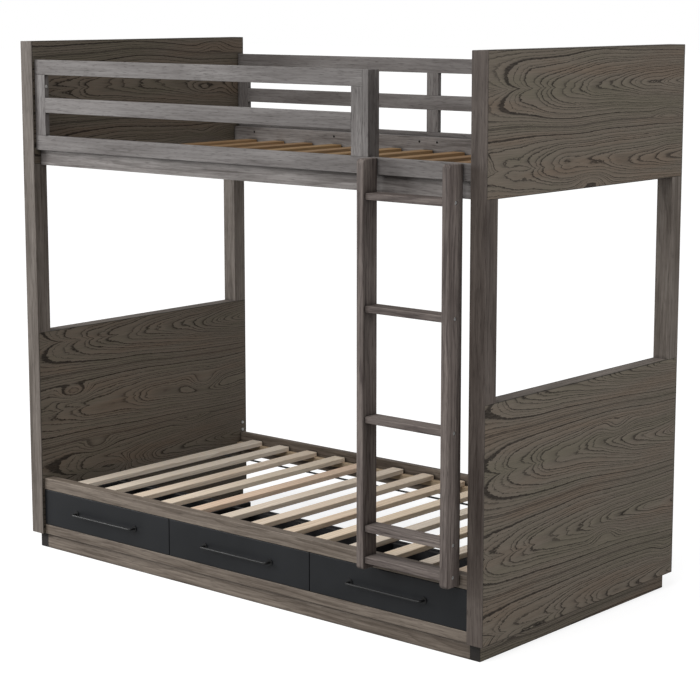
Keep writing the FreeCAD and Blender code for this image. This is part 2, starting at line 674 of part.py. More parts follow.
def ladder_stile(side, x):
    """An upright of the ladder, with its front corners rounded off and the bolt holes through it."""
    body = new_body(f"ladder_{side}_stile", (x[0], LADDER_FRONT, LADDER_BOTTOM))
    depth = f"({FRONT_FACE} - {LADDER_FRONT})"
    height = f"({GUARD_LOW_TOP} - {LADDER_BOTTOM})"
    outline = new_sketch(body, "outline", "YZ_Plane")
    draw_rectangle(outline, ("0", depth), ("0", height))
    board = add_feature(body, "Pad", "thickness", Profile=outline, Length="ladder_stile_thickness")
    doc.recompute()
    front_corners = [f"Edge{index}" for index, edge in enumerate(board.Shape.Edges, start=1)
                     if edge.BoundBox.YMax < 1 and edge.BoundBox.ZLength < 1]
    add_feature(body, "Fillet", "nose", Base=(board, front_corners), Radius="ladder_nose")
    ease_edges(body, "ladder_round")
    outer_face = "0" if side == "left" else "ladder_stile_thickness"
    centres = [(f"({RUNG_BOLT_Y} - {LADDER_FRONT})", f"({z} - {LADDER_BOTTOM})")
               for z in RUNG_BOLT_HEIGHTS]
    backwards = side == "left"
    bore(body, "bolt_holes", "YZ_Plane", outer_face, centres, BOLT_HOLE, "ladder_stile_thickness",
         backwards)
    bore(body, "bolt_seats", "YZ_Plane", outer_face, centres, "bolt_seat", "bolt_seat_depth", backwards)
    return finish(body)


ladder_stile("left", (LADDER_LEFT_OUTSIDE, LADDER_LEFT_INSIDE))
ladder_stile("right", (LADDER_RIGHT_INSIDE, LADDER_RIGHT_OUTSIDE))
rungs = planks("ladder_rungs", rung_x, [rung_y] * len(RUNG_TOPS),
               [before(top, "rung_thickness") for top in RUNG_TOPS], "slat_round")
first_rung_bottom = f"({RUNG_TOPS[0]} - rung_thickness)"
rung_bolt_centres = [(f"({RUNG_BOLT_Y} - {rung_y[0]})", f"({z} - {first_rung_bottom})")
                     for z in RUNG_BOLT_HEIGHTS]
bore(rungs, "left_bolt_holes", "YZ_Plane", "0", rung_bolt_centres, BOLT_HOLE, rung_bolt_depth, True)
bore(rungs, "right_bolt_holes", "YZ_Plane", "ladder_clear_width", rung_bolt_centres, BOLT_HOLE,
     rung_bolt_depth)
finish(rungs)


# Drawers. Each has a wide front over a box of four boards with a bottom let into grooves, a bar pull, and a
# slide member on each side that runs inside the channel fixed to the bay's wall.

FRONT_WIDTH = f"(({RIGHT_INSIDE} - {LEFT_INSIDE}) / 3)"
DRAWER_FACE_BACK = f"({FRONT_FACE} + drawer_front_thickness)"
PULL_AXIS_REACH = "(pull_reach - pull_rod / 2)"
SLIDE_MIDDLE = f"({BOX_BOTTOM} + drawer_box_height / 2)"
slide_y = (f"({DRAWER_FACE_BACK} + drawer_gap * 2)", f"({DRAWER_FACE_BACK} + drawer_gap * 2 + slide_length)")


def bay_span(drawer):
    """The clear width of a drawer's bay between its two walls."""
    left = f"({LEFT_INSIDE} + {drawer - 1} * ({BAY_WIDTH} + partition_thickness))"
    return (left, f"({left} + {BAY_WIDTH})")


def drawer_box(drawer, x):
    """The sides, back and inner front of a drawer, grooved for its bottom, and the bottom itself."""
    label = f"drawer_{drawer}"
    between = (f"({x[0]} + drawer_board)", f"({x[1]} - drawer_board)")
    box_y = (DRAWER_FACE_BACK, DRAWER_BACK)
    box_z = (BOX_BOTTOM, BOX_TOP)
    walls = [plank(f"{label}_left_side", beside(x[0], "drawer_board"), box_y, box_z),
             plank(f"{label}_right_side", before(x[1], "drawer_board"), box_y, box_z),
             plank(f"{label}_inner_front", between, beside(DRAWER_FACE_BACK, "drawer_board"), box_z),
             plank(f"{label}_back", between, before(DRAWER_BACK, "drawer_board"), box_z)]
    frame = doc.addObject("Part::Compound", f"{label}_walls")
    frame.Links = walls
    inset = "(drawer_board - drawer_groove)"
    bottom = doc.addObject("Part::Box", f"{label}_bottom")
    bottom.Label = f"{label}_bottom"
    bottom.setExpression("Length", formula(f"({x[1]} - {x[0]} - 2 * {inset})"))
    bottom.setExpression("Width", formula(f"({DRAWER_BACK} - {DRAWER_FACE_BACK} - 2 * {inset})"))
    bottom.setExpression("Height", formula("drawer_bottom_thickness"))
    place(bottom, f"({x[0]} + {inset})", f"({DRAWER_FACE_BACK} + {inset})",
          f"({BOX_BOTTOM} + drawer_bottom_lift)")
    grooved = doc.addObject("Part::Cut", f"{label}_box")
    grooved.Label = f"{label}_box"
    grooved.Base = frame
    grooved.Tool = bottom
    finish(grooved)
    finish(bottom)


def draw_pull_path(path):
    """The middle line of a pull: a leg out from the drawer, a bend, the bar, a bend and a leg back."""
    half, bend, reach = number("pull_span") / 2, number("pull_bend"), number(PULL_AXIS_REACH)
    bar = path.addGeometry(Part.LineSegment(FreeCAD.Vector(bend - half, -reach, 0),
                                            FreeCAD.Vector(half - bend, -reach, 0)), False)
    for sign, bar_end in ((-1, 1), (1, 2)):
        foot = FreeCAD.Vector(sign * half, 0, 0)
        leg_end = FreeCAD.Vector(sign * half, bend - reach, 0)
        leg = path.addGeometry(Part.LineSegment(foot, leg_end), False)
        centre = FreeCAD.Vector(sign * (half - bend), bend - reach, 0)
        middle = centre + FreeCAD.Vector(sign, -1, 0).normalize() * bend
        last = centre - FreeCAD.Vector(0, bend, 0)
        order = (leg_end, middle, last) if sign < 0 else (last, middle, leg_end)
        curve = path.addGeometry(Part.Arc(*order), False)
        at_leg, at_bar = (1, 2) if sign < 0 else (2, 1)
        path.addConstraint(Sketcher.Constraint("Coincident", leg, 2, curve, at_leg))
        path.addConstraint(Sketcher.Constraint("Coincident", bar, bar_end, curve, at_bar))
        bend_across = f"({sign} * (pull_span / 2 - pull_bend))"
        bend_up = f"(pull_bend - {PULL_AXIS_REACH})"
        bind_point(path, leg, 1, f"({sign} * pull_span / 2)", "0")
        bind_point(path, leg, 2, f"({sign} * pull_span / 2)", bend_up)
        bind_point(path, curve, 3, bend_across, bend_up)
        bind(path, "DistanceX", bar, bar_end, bend_across)


def drawer_pull(drawer, middle_x):
    """A round bar bent back at both ends, with a thin round foot on the drawer's face under each end."""
    body = new_body(f"drawer_{drawer}_pull", (middle_x, FRONT_FACE, DRAWER_MIDDLE))
    path = new_sketch(body, "path", "XY_Plane")
    draw_pull_path(path)
    section = new_sketch(body, "rod", "XZ_Plane")
    draw_circle(section, "(-pull_span / 2)", "0", "pull_rod")
    doc.recompute()
    add_feature(body, "AdditivePipe", "bar", Profile=section, Spine=(path, []))
    feet = new_sketch(body, "feet_outline", "XZ_Plane")
    for side in (-1, 1):
        draw_circle(feet, f"({side} * pull_span / 2)", "0", "pull_foot")
    add_feature(body, "Pad", "feet", Profile=feet, Length="pull_foot_thickness")
    return finish(body)


def draw_channel(sketch, wall, way, flange, height):
    """A channel's section: its web lies on a wall and its two flanges reach away from it."""
    foot = f"({wall} {way} {flange})"
    web = f"({wall} {way} slide_sheet)"
    outer = f"({height} / 2)"
    inner = f"({outer} - slide_sheet)"
    draw_outline(sketch, [(wall, f"(-{outer})"), (foot, f"(-{outer})"), (foot, f"(-{inner})"),
                          (web, f"(-{inner})"), (web, inner), (foot, inner), (foot, outer), (wall, outer)])


def slide_members(label, bays, inset, flange, height, ways):
    """Slide members on the two sides of each bay, at an inset from its walls."""
    low_x = bays[0][0]
    body = new_body(label, (low_x, slide_y[0], SLIDE_MIDDLE))
    section = new_sketch(body, "section", "XZ_Plane")
    for left, right in bays:
        draw_channel(section, f"({left} + {inset} - {low_x})", ways[0], flange, height)
        draw_channel(section, f"({right} - {inset} - {low_x})", ways[1], flange, height)
    add_feature(body, "Pad", "length", Profile=section, Length="slide_length", Reversed=True)
    return finish(body)


bays = [bay_span(drawer) for drawer in (1, 2, 3)]
slide_members("fixed_drawer_slides", bays, "0", "slide_flange", "slide_height", "+-")

moving_flange = "(slide_space - slide_sheet - slide_play)"
moving_height = "(slide_height - 2 * (slide_sheet + slide_play))"
for drawer, bay in enumerate(bays, start=1):
    front_left = f"({LEFT_INSIDE} + {drawer - 1} * {FRONT_WIDTH})"
    front_x = (f"({front_left} + drawer_gap)", f"({front_left} + {FRONT_WIDTH} - drawer_gap)")
    front_z = (f"({DRAWER_SILL} + drawer_gap)", "(front_rail_bottom - drawer_gap)")
    finish(plank(f"drawer_{drawer}_front", front_x, (FRONT_FACE, DRAWER_FACE_BACK), front_z))
    drawer_box(drawer, (f"({bay[0]} + slide_space)", f"({bay[1]} - slide_space)"))
    drawer_pull(drawer, f"({front_left} + {FRONT_WIDTH} / 2)")
    slide_members(f"drawer_{drawer}_slide_members", [bay], "slide_space", moving_flange, moving_height, "-+")


# Bolts and screws. Those of the ladder and the guard stiles are sunk in round seats, those low in the rear
# corners stand on the panels' inner faces, and the screws are sunk in the side rails' inner faces.

def frame_bolt(name, seat, rotation, length):
    """One of the bed's bright socket-head bolts."""
    return bolt(name, seat, rotation, "bolt_shank", "bolt_head", "bolt_head_height", length)


ladder_bolts = []
for index, height in enumerate(RUNG_BOLT_HEIGHTS, start=1):
    left_seat = (f"({LADDER_LEFT_OUTSIDE} + bolt_seat_depth)", RUNG_BOLT_Y, height)
    right_seat = (f"({LADDER_RIGHT_OUTSIDE} - bolt_seat_depth)", RUNG_BOLT_Y, height)
    for side, seat, rotation in (("left", left_seat, ALONG_X), ("right", right_seat, ALONG_MINUS_X)):
        ladder_bolts.append(frame_bolt(f"ladder_bolt_{side}_{index}", seat, rotation, "rung_bolt_length"))
group("ladder_bolts", ladder_bolts)

left_guard_seat = f"({left_stile_x[1]} - bolt_seat_depth)"
right_guard_seat = f"({right_stile_x[0]} + bolt_seat_depth)"
guard_bolts = (("front_left", left_guard_seat, FRONT_GUARD_MIDDLE, ALONG_MINUS_X),
               ("rear_left", left_guard_seat, REAR_GUARD_MIDDLE, ALONG_MINUS_X),
               ("rear_right", right_guard_seat, REAR_GUARD_MIDDLE, ALONG_X))
frame_bolts = [frame_bolt(f"{corner}_guard_bolt", (x, y, GUARD_BOLT_HEIGHT), rotation, "guard_bolt_length")
               for corner, x, y, rotation in guard_bolts]
for index, height in enumerate(CORNER_BOLT_HEIGHTS, start=1):
    for side, x, rotation in (("left", LEFT_INSIDE, ALONG_MINUS_X), ("right", RIGHT_INSIDE, ALONG_X)):
        frame_bolts.append(frame_bolt(f"{side}_corner_bolt_{index}", (x, CORNER_BOLT_Y, height), rotation,
                                      "corner_bolt_length"))
group("frame_bolts", frame_bolts)

guard_screws = []
for index, offset in enumerate(SCREW_PLACES, start=1):
    for side, y, rotation in (("front", f"({UPPER_FRONT_INSIDE} - screw_seat_depth)", ALONG_MINUS_Y),
                              ("rear", f"({UPPER_REAR_INSIDE} + screw_seat_depth)", ALONG_Y)):
        guard_screws.append(bolt(f"guard_screw_{side}_{index}", (offset, y, GUARD_SCREW_HEIGHT), rotation,
                                 "screw_shank", "screw_head", "screw_head_height", "screw_length"))
group("guard_screws", guard_screws)


# Check every object, then write each node

doc.recompute()
for made in doc.Objects:
    if "Invalid" in made.State or "Error" in made.State:
        raise RuntimeError(f"{made.Name} could not be made")
os.makedirs("parts", exist_ok=True)
for node in nodes:
    if node.Shape.isNull() or not node.Shape.isValid():
        raise RuntimeError(f"{node.Label} has no sound shape")
    node.Shape.exportStep(f"parts/{node.Label}.step")
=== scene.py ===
import math

import bpy
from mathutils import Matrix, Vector


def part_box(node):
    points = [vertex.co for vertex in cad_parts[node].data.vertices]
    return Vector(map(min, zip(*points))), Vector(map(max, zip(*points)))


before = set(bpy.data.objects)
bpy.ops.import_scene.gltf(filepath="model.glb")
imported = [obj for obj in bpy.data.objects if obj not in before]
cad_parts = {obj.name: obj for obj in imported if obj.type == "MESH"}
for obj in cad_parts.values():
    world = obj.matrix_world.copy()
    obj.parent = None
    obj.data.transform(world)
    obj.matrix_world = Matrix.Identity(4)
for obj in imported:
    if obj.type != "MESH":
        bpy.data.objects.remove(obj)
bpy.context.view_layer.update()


# End panel skins. The real ones are boards faced with flat-sawn ash, wire-brushed and stained grey-brown, so
# the open pores of each year's growth show as dark lines. The leaves of veneer are stacked one above another
# with their grain running from front to rear, and each leaf has its own arches, waves and eyes.

LEAF_HEIGHT = 0.24      # metres of one leaf of veneer, from joint to joint
RING_SPACING = 0.0056   # metres of trunk grown in a year
SLANT = -0.13           # how steeply a leaf is cut through the rings, in metres of depth a metre of run
SLANT_SPREAD = 0.08     # how much less steeply some leaves are cut
SWAY = 0.13             # metres that the grain wanders up and down over a metre or so
LEAN = 0.065            # metres that the trunk bends towards and away from the saw
RAGGED = 0.0042         # metres of raggedness of a ring
SEED_STEP = (3.7, 1.9, 2.3)   # metres between the patterns of two pieces
PAINTED_SHADE_REACH = 0.02     # metres out of a corner and from under an overhang that the painted shade reaches
ASH_GREY = "#6b6257"
ASH_GREEN = "#665f52"
ASH_RED = "#6c5f52"
ASH_PORE = "#150d08"
ASH_END_GRAIN = "#2b2826"
JOINT_SHADOW = "#15110e"
JOINT_WIDTH = 0.0022    # metres
STAIN_IOR = 1.36        # a wiped stain is matt, and throws back less light than bare wood does


def linear(colour):
    """A hex colour, as it looks on a screen, in the linear values that the shaders work in."""
    parts = [int(colour[place:place + 2], 16) / 255 for place in (1, 3, 5)]
    return [part / 12.92 if part <= 0.04045 else ((part + 0.055) / 1.055) ** 2.4 for part in parts] + [1.0]


def add_node(tree, kind, inputs=None, stops=(), **settings):
    """Add a node with its settings and links. An input is given a number, a hex colour, another node's output,
    or another node, whose first output in use it then takes. A colour ramp's stops are each a place and a hex
    colour or a grey level. A colour mix takes its share at input 0 and its colours at inputs 6 and 7."""
    made = tree.nodes.new("ShaderNode" + kind)
    for name, value in settings.items():
        setattr(made, name, value)
    for name, given in (inputs or {}).items():
        if isinstance(given, bpy.types.Node):
            given = next(output for output in given.outputs if output.enabled)
        if isinstance(given, bpy.types.NodeSocket):
            tree.links.new(given, made.inputs[name])
        else:
            made.inputs[name].default_value = linear(given) if isinstance(given, str) else given
    for index, (place, colour) in enumerate(stops):
        elements = made.color_ramp.elements
        stop = elements[index] if index < 2 else elements.new(place)
        stop.position = place
        stop.color = linear(colour) if isinstance(colour, str) else (colour, colour, colour, 1.0)
    return made


def new_material(name):
    """An empty material, and the tree that its pattern and its surface are built in."""
    material = bpy.data.materials.new(name)
    material.use_nodes = True
    material.node_tree.nodes.clear()
    return material, material.node_tree


def finish_surface(tree, look, relief, height, strength):
    """The shader, with the look that its inputs are given, and a relief of so many metres pressed into it."""
    bump = add_node(tree, "Bump", {"Height": relief, "Distance": height, "Strength": strength})
    shader = add_node(tree, "BsdfPrincipled", {**look, "Normal": bump})
    add_node(tree, "OutputMaterial", {"Surface": shader})


def finish_nodes(names, material):
    """Give CAD nodes their material."""
    for name in names:
        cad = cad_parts[name]
        if not cad.material_slots:
            cad.data.materials.append(material)
        for slot in cad.material_slots:
            slot.link = "OBJECT"
            slot.material = material


def grain_space(tree, run, seed):
    """The board's own coordinates in metres: X along the grain, Y and Z across it, moved by the seed so that
    no two boards are alike."""
    place = add_node(tree, "TexCoord").outputs["Object"]
    axes = add_node(tree, "SeparateXYZ", {0: place}).outputs
    order = {"x": (0, 1, 2), "y": (1, 2, 0), "z": (2, 0, 1)}[run]
    turned = add_node(tree, "CombineXYZ", {index: axes[axis] for index, axis in enumerate(order)})
    away = tuple(seed * step for step in SEED_STEP)
    return add_node(tree, "VectorMath", {0: turned, 1: away}, operation="ADD")


def long_grain(tree, space, scale, detail, roughness=0.5):
    """Streaks and clouds drawn out along the grain. The scale is in cycles a metre along it and across it."""
    stretch = (scale[0], scale[1], scale[1])
    drawn_out = add_node(tree, "VectorMath", {0: space, 1: stretch}, operation="MULTIPLY")
    return add_node(tree, "TexNoise", {"Vector": drawn_out, "Scale": 1.0, "Detail": detail,
                                       "Roughness": roughness})


def painted_corner_shade(tree, distance):
    """Painted shade: 1 in corners and under overhangs, where less light reaches, and 0 this
    distance away from them."""
    open_sky = add_node(tree, "AmbientOcclusion", {"Distance": distance}, samples=6).outputs["AO"]
    return add_node(tree, "ValToRGB", {0: open_sky}, stops=[(0.3, 1.0), (0.8, 0.0)])


def trunk_rings(tree, space, seed):
    """Where each point of the veneer lies among the trunk's yearly rings, counted in years, and how near it
    is to the middle of its leaf. Each leaf was cut at a slant through the rings, so they make arches along
    its middle and run straight at its edges."""
    along, across, _ = add_node(tree, "SeparateXYZ", {0: space}).outputs
    sway = add_node(tree, "Math", {0: long_grain(tree, space, (0.9, 1.6), 2), 1: SWAY}, operation="MULTIPLY")
    bent = add_node(tree, "Math", {0: across, 1: sway}, operation="ADD")
    half = LEAF_HEIGHT / 2
    from_middle = add_node(tree, "Math", {0: bent, 1: half}, operation="PINGPONG")
    leaf = add_node(tree, "Math", {0: bent, 1: half}, operation="ADD")
    leaf = add_node(tree, "Math", {0: leaf, 1: LEAF_HEIGHT}, operation="DIVIDE")
    leaf = add_node(tree, "Math", {0: leaf}, operation="FLOOR")
    # Each leaf is cut at a slant of its own
    leaf = add_node(tree, "Math", {0: leaf, 1: seed * 17.0}, operation="ADD")
    picked = add_node(tree, "TexWhiteNoise", {"W": leaf}, noise_dimensions="1D")
    slope = add_node(tree, "Math", {0: picked, 1: SLANT_SPREAD, 2: SLANT}, operation="MULTIPLY_ADD")
    run = add_node(tree, "Math", {0: along, 1: seed * SEED_STEP[0]}, operation="SUBTRACT")
    slant = add_node(tree, "Math", {0: slope, 1: run}, operation="MULTIPLY")
    lean = add_node(tree, "Math", {0: long_grain(tree, space, (2.6, 3.4), 2), 1: LEAN}, operation="MULTIPLY")
    depth = add_node(tree, "Math", {0: slant, 1: lean}, operation="ADD")
    outward = add_node(tree, "Math", {0: from_middle, 1: half}, operation="DIVIDE")
    fading = add_node(tree, "Math", {0: 1.0, 1: outward}, operation="SUBTRACT", use_clamp=True)
    fading = add_node(tree, "Math", {0: fading, 1: 1.3}, operation="POWER")
    crown = add_node(tree, "Math", {0: from_middle, 1: from_middle, 2: 0.0003}, operation="MULTIPLY_ADD")
    crown = add_node(tree, "Math", {0: crown}, operation="SQRT")
    radius = add_node(tree, "Math", {0: depth, 1: fading, 2: crown}, operation="MULTIPLY_ADD")
    # Small knots, which the rings run round
    knot_place = add_node(tree, "VectorMath", {0: space, 1: (1.4, 4.2, 0.0)}, operation="MULTIPLY")
    from_knot = add_node(tree, "TexVoronoi", {"Vector": knot_place, "Scale": 1.0, "Randomness": 1.0},
                         voronoi_dimensions="2D")
    knot = add_node(tree, "MapRange", {0: from_knot, 1: 0.0, 2: 0.18, 3: 0.02, 4: 0.0},
                    interpolation_type="SMOOTHSTEP")
    ragged = long_grain(tree, space, (42, 160), 3, 0.7)
    ragged = add_node(tree, "Math", {0: ragged, 1: RAGGED}, operation="MULTIPLY")
    radius = add_node(tree, "Math", {0: radius, 1: knot}, operation="ADD")
    radius = add_node(tree, "Math", {0: radius, 1: ragged}, operation="ADD")
    years = add_node(tree, "Math", {0: radius, 1: RING_SPACING}, operation="DIVIDE")
    # Good and bad years, so that some rings are wide and some are narrow
    growth = add_node(tree, "TexNoise", {"W": years, "Scale": 0.45, "Detail": 1.0}, noise_dimensions="1D")
    return add_node(tree, "Math", {0: growth, 1: 2.4, 2: years}, operation="MULTIPLY_ADD"), fading


def brushed_ash_veneer(name, seed, low, high):
    """Flat-sawn ash on a skin between two corners."""
    material, tree = new_material(name)
    space = grain_space(tree, "y", seed)
    years, fading = trunk_rings(tree, space, seed)
    year = add_node(tree, "Math", {0: years}, operation="FRACT")
    year_number = add_node(tree, "Math", {0: years}, operation="FLOOR")
    wet_year = add_node(tree, "TexWhiteNoise", {"W": year_number}, noise_dimensions="1D")
    # The arches' rings lie wide apart, and their lines of pores take up less of each ring than at the edges
    thinner = add_node(tree, "Math", {0: fading, 1: 0.6, 2: 1.0}, operation="MULTIPLY_ADD")
    thinned = add_node(tree, "Math", {0: year, 1: thinner}, operation="MULTIPLY")
    pores = add_node(tree, "ValToRGB", {0: thinned},
                     stops=[(0.0, 1.0), (0.2, 0.96), (0.34, 0.36), (0.56, 0.14), (1.0, 0.0)])
    dashes = add_node(tree, "ValToRGB", {0: long_grain(tree, space, (45, 620), 3, 0.6)},
                      stops=[(0.35, 0.74), (0.6, 1.0)])
    strength = add_node(tree, "Math", {0: wet_year, 1: 0.4, 2: 0.6}, operation="MULTIPLY_ADD")
    strength = add_node(tree, "Math", {0: strength, 1: pores}, operation="MULTIPLY")
    strength = add_node(tree, "Math", {0: strength, 1: dashes}, operation="MULTIPLY")

    # Fine streaks of brushed grain, and slow changes between the stain's grey, green and red browns
    streaks = long_grain(tree, space, (11, 430), 4, 0.7)
    cloud = long_grain(tree, space, (1.4, 13), 4, 0.6)
    face = add_node(tree, "ValToRGB", {0: cloud}, stops=[(0.36, ASH_GREEN), (0.5, ASH_GREY), (0.64, ASH_RED)])
    brushing = add_node(tree, "ValToRGB", {0: streaks}, stops=[(0.3, 0.34), (0.7, 0.66)])
    face = add_node(tree, "Mix", {0: 0.6, 6: face, 7: brushing}, data_type="RGBA", blend_type="OVERLAY")
    colour = add_node(tree, "Mix", {0: strength, 6: face, 7: ASH_PORE}, data_type="RGBA")

    # The hairline joint with the posts and the window's edge, drawn a little wider than it is so as to show
    board = add_node(tree, "TexCoord").outputs
    place = add_node(tree, "SeparateXYZ", {0: board["Object"]}).outputs
    gaps = []
    for axis in (1, 2):
        middle = (low[axis] + high[axis]) / 2
        half = (high[axis] - low[axis]) / 2
        offset = add_node(tree, "Math", {0: place[axis], 1: middle}, operation="SUBTRACT")
        offset = add_node(tree, "Math", {0: offset}, operation="ABSOLUTE")
        gaps.append(add_node(tree, "Math", {0: half, 1: offset}, operation="SUBTRACT"))
    edge = add_node(tree, "Math", {0: gaps[0], 1: gaps[1]}, operation="MINIMUM")
    joint = add_node(tree, "Math", {0: edge, 1: JOINT_WIDTH}, operation="LESS_THAN")
    joint = add_node(tree, "Math", {0: joint, 1: 0.7}, operation="MULTIPLY")
    colour = add_node(tree, "Mix", {0: joint, 6: colour, 7: JOINT_SHADOW}, data_type="RGBA")
    facing = add_node(tree, "SeparateXYZ", {0: board["Normal"]}).outputs
    end_grain = add_node(tree, "Math", {0: facing[1]}, operation="ABSOLUTE")
    end_grain = add_node(tree, "Math", {0: end_grain, 1: 0.7}, operation="GREATER_THAN")
    colour = add_node(tree, "Mix", {0: end_grain, 6: colour, 7: ASH_END_GRAIN}, data_type="RGBA")
    # Painted shade: the colour darkens towards JOINT_SHADOW in corners and under overhangs
    shade = add_node(tree, "Math", {0: painted_corner_shade(tree, PAINTED_SHADE_REACH), 1: 0.6}, operation="MULTIPLY")
    colour = add_node(tree, "Mix", {0: shade, 6: colour, 7: JOINT_SHADOW}, data_type="RGBA")

    roughness = add_node(tree, "ValToRGB", {0: strength}, stops=[(0.0, 0.48), (1.0, 0.8)])
    sunk = add_node(tree, "Math", {0: strength, 1: -1.0}, operation="MULTIPLY")
    relief = add_node(tree, "Math", {0: streaks, 1: 0.35, 2: sunk}, operation="MULTIPLY_ADD")
    look = {"Base Color": colour, "Roughness": roughness, "IOR": STAIN_IOR}
    finish_surface(tree, look, relief, 0.0006, 0.6)
    return material


seed = 1
for side in ("left", "right"):
    for zone in ("upper", "lower"):
        for face in ("outer", "inner"):
            skin = f"{side}_{zone}_{face}_skin"
            finish_nodes([skin], brushed_ash_veneer(f"brushed_ash_{skin}", seed, *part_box(skin)))
            seed += 1


# Posts, cross rails and end plinths. The posts and rails are solid ash, sawn so that the grain runs straight
# along each piece, with the same brushed grey-brown stain as the skins. The right front post is given darker
# colours all over, as painted shade for the ladder's shadow on its front. The end plinths are faced like the
# skins.

EASED_EDGE = 0.0025   # metres that a board's edges are rounded
POST_COLOURS = ("#7b736c", "#4d453e", "#2a221d", "#827b73")
# Painted shade: darker copies of the post colours, for the right front post that the ladder shades
SHADED_POST_COLOURS = ("#625953", "#3a312c", "#231b17", "#6d645e")


def worn_edges(tree, radius):
    """1 on a board's eased edges, where brushing and handling take the stain off, and 0 on its faces."""
    rounded = add_node(tree, "Bevel", {"Radius": radius}, samples=4)
    flat = add_node(tree, "NewGeometry").outputs["Normal"]
    likeness = add_node(tree, "VectorMath", {0: rounded, 1: flat}, operation="DOT_PRODUCT")
    return add_node(tree, "MapRange", {0: likeness, 1: 0.995, 2: 0.9, 3: 0.0, 4: 1.0})


def stained_board(name, run, seed, colours, streak=1.0, fleck=0.55, figure=0.012):
    """A sawn and brushed board. Its colours are a light one, a dark one, that of its open pores and that of
    its worn edges. The streak and the fleck are the strength of its long streaks and of its short dark pores,
    and the figure is the width of a year's growth in metres."""
    light, dark, pore, worn = colours
    material, tree = new_material(name)
    space = grain_space(tree, run, seed)
    _, across, through = add_node(tree, "SeparateXYZ", {0: space}).outputs
    wander = long_grain(tree, space, (1.5, 7), 3)
    from_pith = add_node(tree, "CombineXYZ", {0: across, 1: through})
    radius = add_node(tree, "VectorMath", {0: from_pith}, operation="LENGTH")
    radius = add_node(tree, "Math", {0: wander, 1: 0.1, 2: radius}, operation="MULTIPLY_ADD")
    year = add_node(tree, "Math", {0: radius, 1: figure}, operation="DIVIDE")
    year = add_node(tree, "Math", {0: year}, operation="FRACT")
    rings = add_node(tree, "ValToRGB", {0: year},
                     stops=[(0.0, 1.0), (0.3, 0.35), (0.7, 0.0), (0.95, 0.1), (1.0, 1.0)])
    streaks = long_grain(tree, space, (4.5, 190), 5, 0.68)
    cloud = long_grain(tree, space, (2.4, 15), 4, 0.6)
    tone = add_node(tree, "Math", {0: streaks, 1: 0.5}, operation="SUBTRACT")
    tone = add_node(tree, "Math", {0: tone, 1: 1.9 * streak}, operation="MULTIPLY")
    clouding = add_node(tree, "Math", {0: cloud, 1: 0.5}, operation="SUBTRACT")
    tone = add_node(tree, "Math", {0: clouding, 1: 2.2, 2: tone}, operation="MULTIPLY_ADD")
    tone = add_node(tree, "Math", {0: rings, 1: -0.4 * streak, 2: tone}, operation="MULTIPLY_ADD")
    tone = add_node(tree, "Math", {0: tone, 1: 0.62}, operation="ADD", use_clamp=True)
    colour = add_node(tree, "Mix", {0: tone, 6: dark, 7: light}, data_type="RGBA")
    flecks = add_node(tree, "ValToRGB", {0: long_grain(tree, space, (26, 480), 2, 0.5)},
                      stops=[(0.57, 0.0), (0.69, 1.0)])
    flecking = add_node(tree, "Math", {0: flecks, 1: fleck}, operation="MULTIPLY")
    colour = add_node(tree, "Mix", {0: flecking, 6: colour, 7: pore}, data_type="RGBA")
    wear = add_node(tree, "Math", {0: worn_edges(tree, EASED_EDGE), 1: 0.5}, operation="MULTIPLY")
    colour = add_node(tree, "Mix", {0: wear, 6: colour, 7: worn}, data_type="RGBA")
    # Painted shade: the colour darkens towards JOINT_SHADOW in corners and under overhangs
    shade = add_node(tree, "Math", {0: painted_corner_shade(tree, PAINTED_SHADE_REACH), 1: 0.8}, operation="MULTIPLY")
    colour = add_node(tree, "Mix", {0: shade, 6: colour, 7: JOINT_SHADOW}, data_type="RGBA")
    roughness = add_node(tree, "ValToRGB", {0: streaks}, stops=[(0.3, 0.66), (0.7, 0.5)])
    sunk = add_node(tree, "Math", {0: flecks, 1: -0.8}, operation="MULTIPLY")
    relief = add_node(tree, "Math", {0: streaks, 1: 0.6, 2: sunk}, operation="MULTIPLY_ADD")
    look = {"Base Color": colour, "Roughness": roughness, "IOR": STAIN_IOR}
    finish_surface(tree, look, relief, 0.0005, 0.6)
    return material


posts = [f"{side}_{edge}_post" for side in ("left", "right") for edge in ("front", "rear")]
for index, post in enumerate(posts):
    colours = SHADED_POST_COLOURS if post == "right_front_post" else POST_COLOURS
    finish_nodes([post], stained_board(f"brushed_ash_{post}", "z", 11 + index, colours, streak=0.8))
finish_nodes(["left_cross_rails", "right_cross_rails"],
             stained_board("brushed_ash_cross_rails", "y", 21, POST_COLOURS, streak=0.8))
finish_nodes(["end_plinths"], brushed_ash_veneer("brushed_ash_end_plinths", 23, *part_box("end_plinths")))


# Rails of the lower bunk and the front plinth: ash boards with a lighter coat of the same stain, run along
# the bed. Their growth lines are wide and dark.

LOWER_RAIL_COLOURS = ("#887d72", "#584e45", "#362c25", "#91877c")

for index, rail in enumerate(("drawer_bottom_rail", "lower_front_rail", "lower_rear_rail", "front_plinth")):
    finish_nodes([rail], stained_board(f"brushed_ash_{rail}", "x", 31 + index, LOWER_RAIL_COLOURS,
                                       streak=1.0, fleck=0.5, figure=0.016))


# Guards and the upper side rails: poplar boards under a thin grey wash. The wash evens out the grain and
# leaves soft blotches, a few dark flecks and lighter edges. The side rails took it less evenly.

GUARD_COLOURS = ("#827e7c", "#5f5a58", "#393432", "#8d8a87")
UPPER_RAIL_COLOURS = ("#97928f", "#5a5451", "#38322f", "#959290")

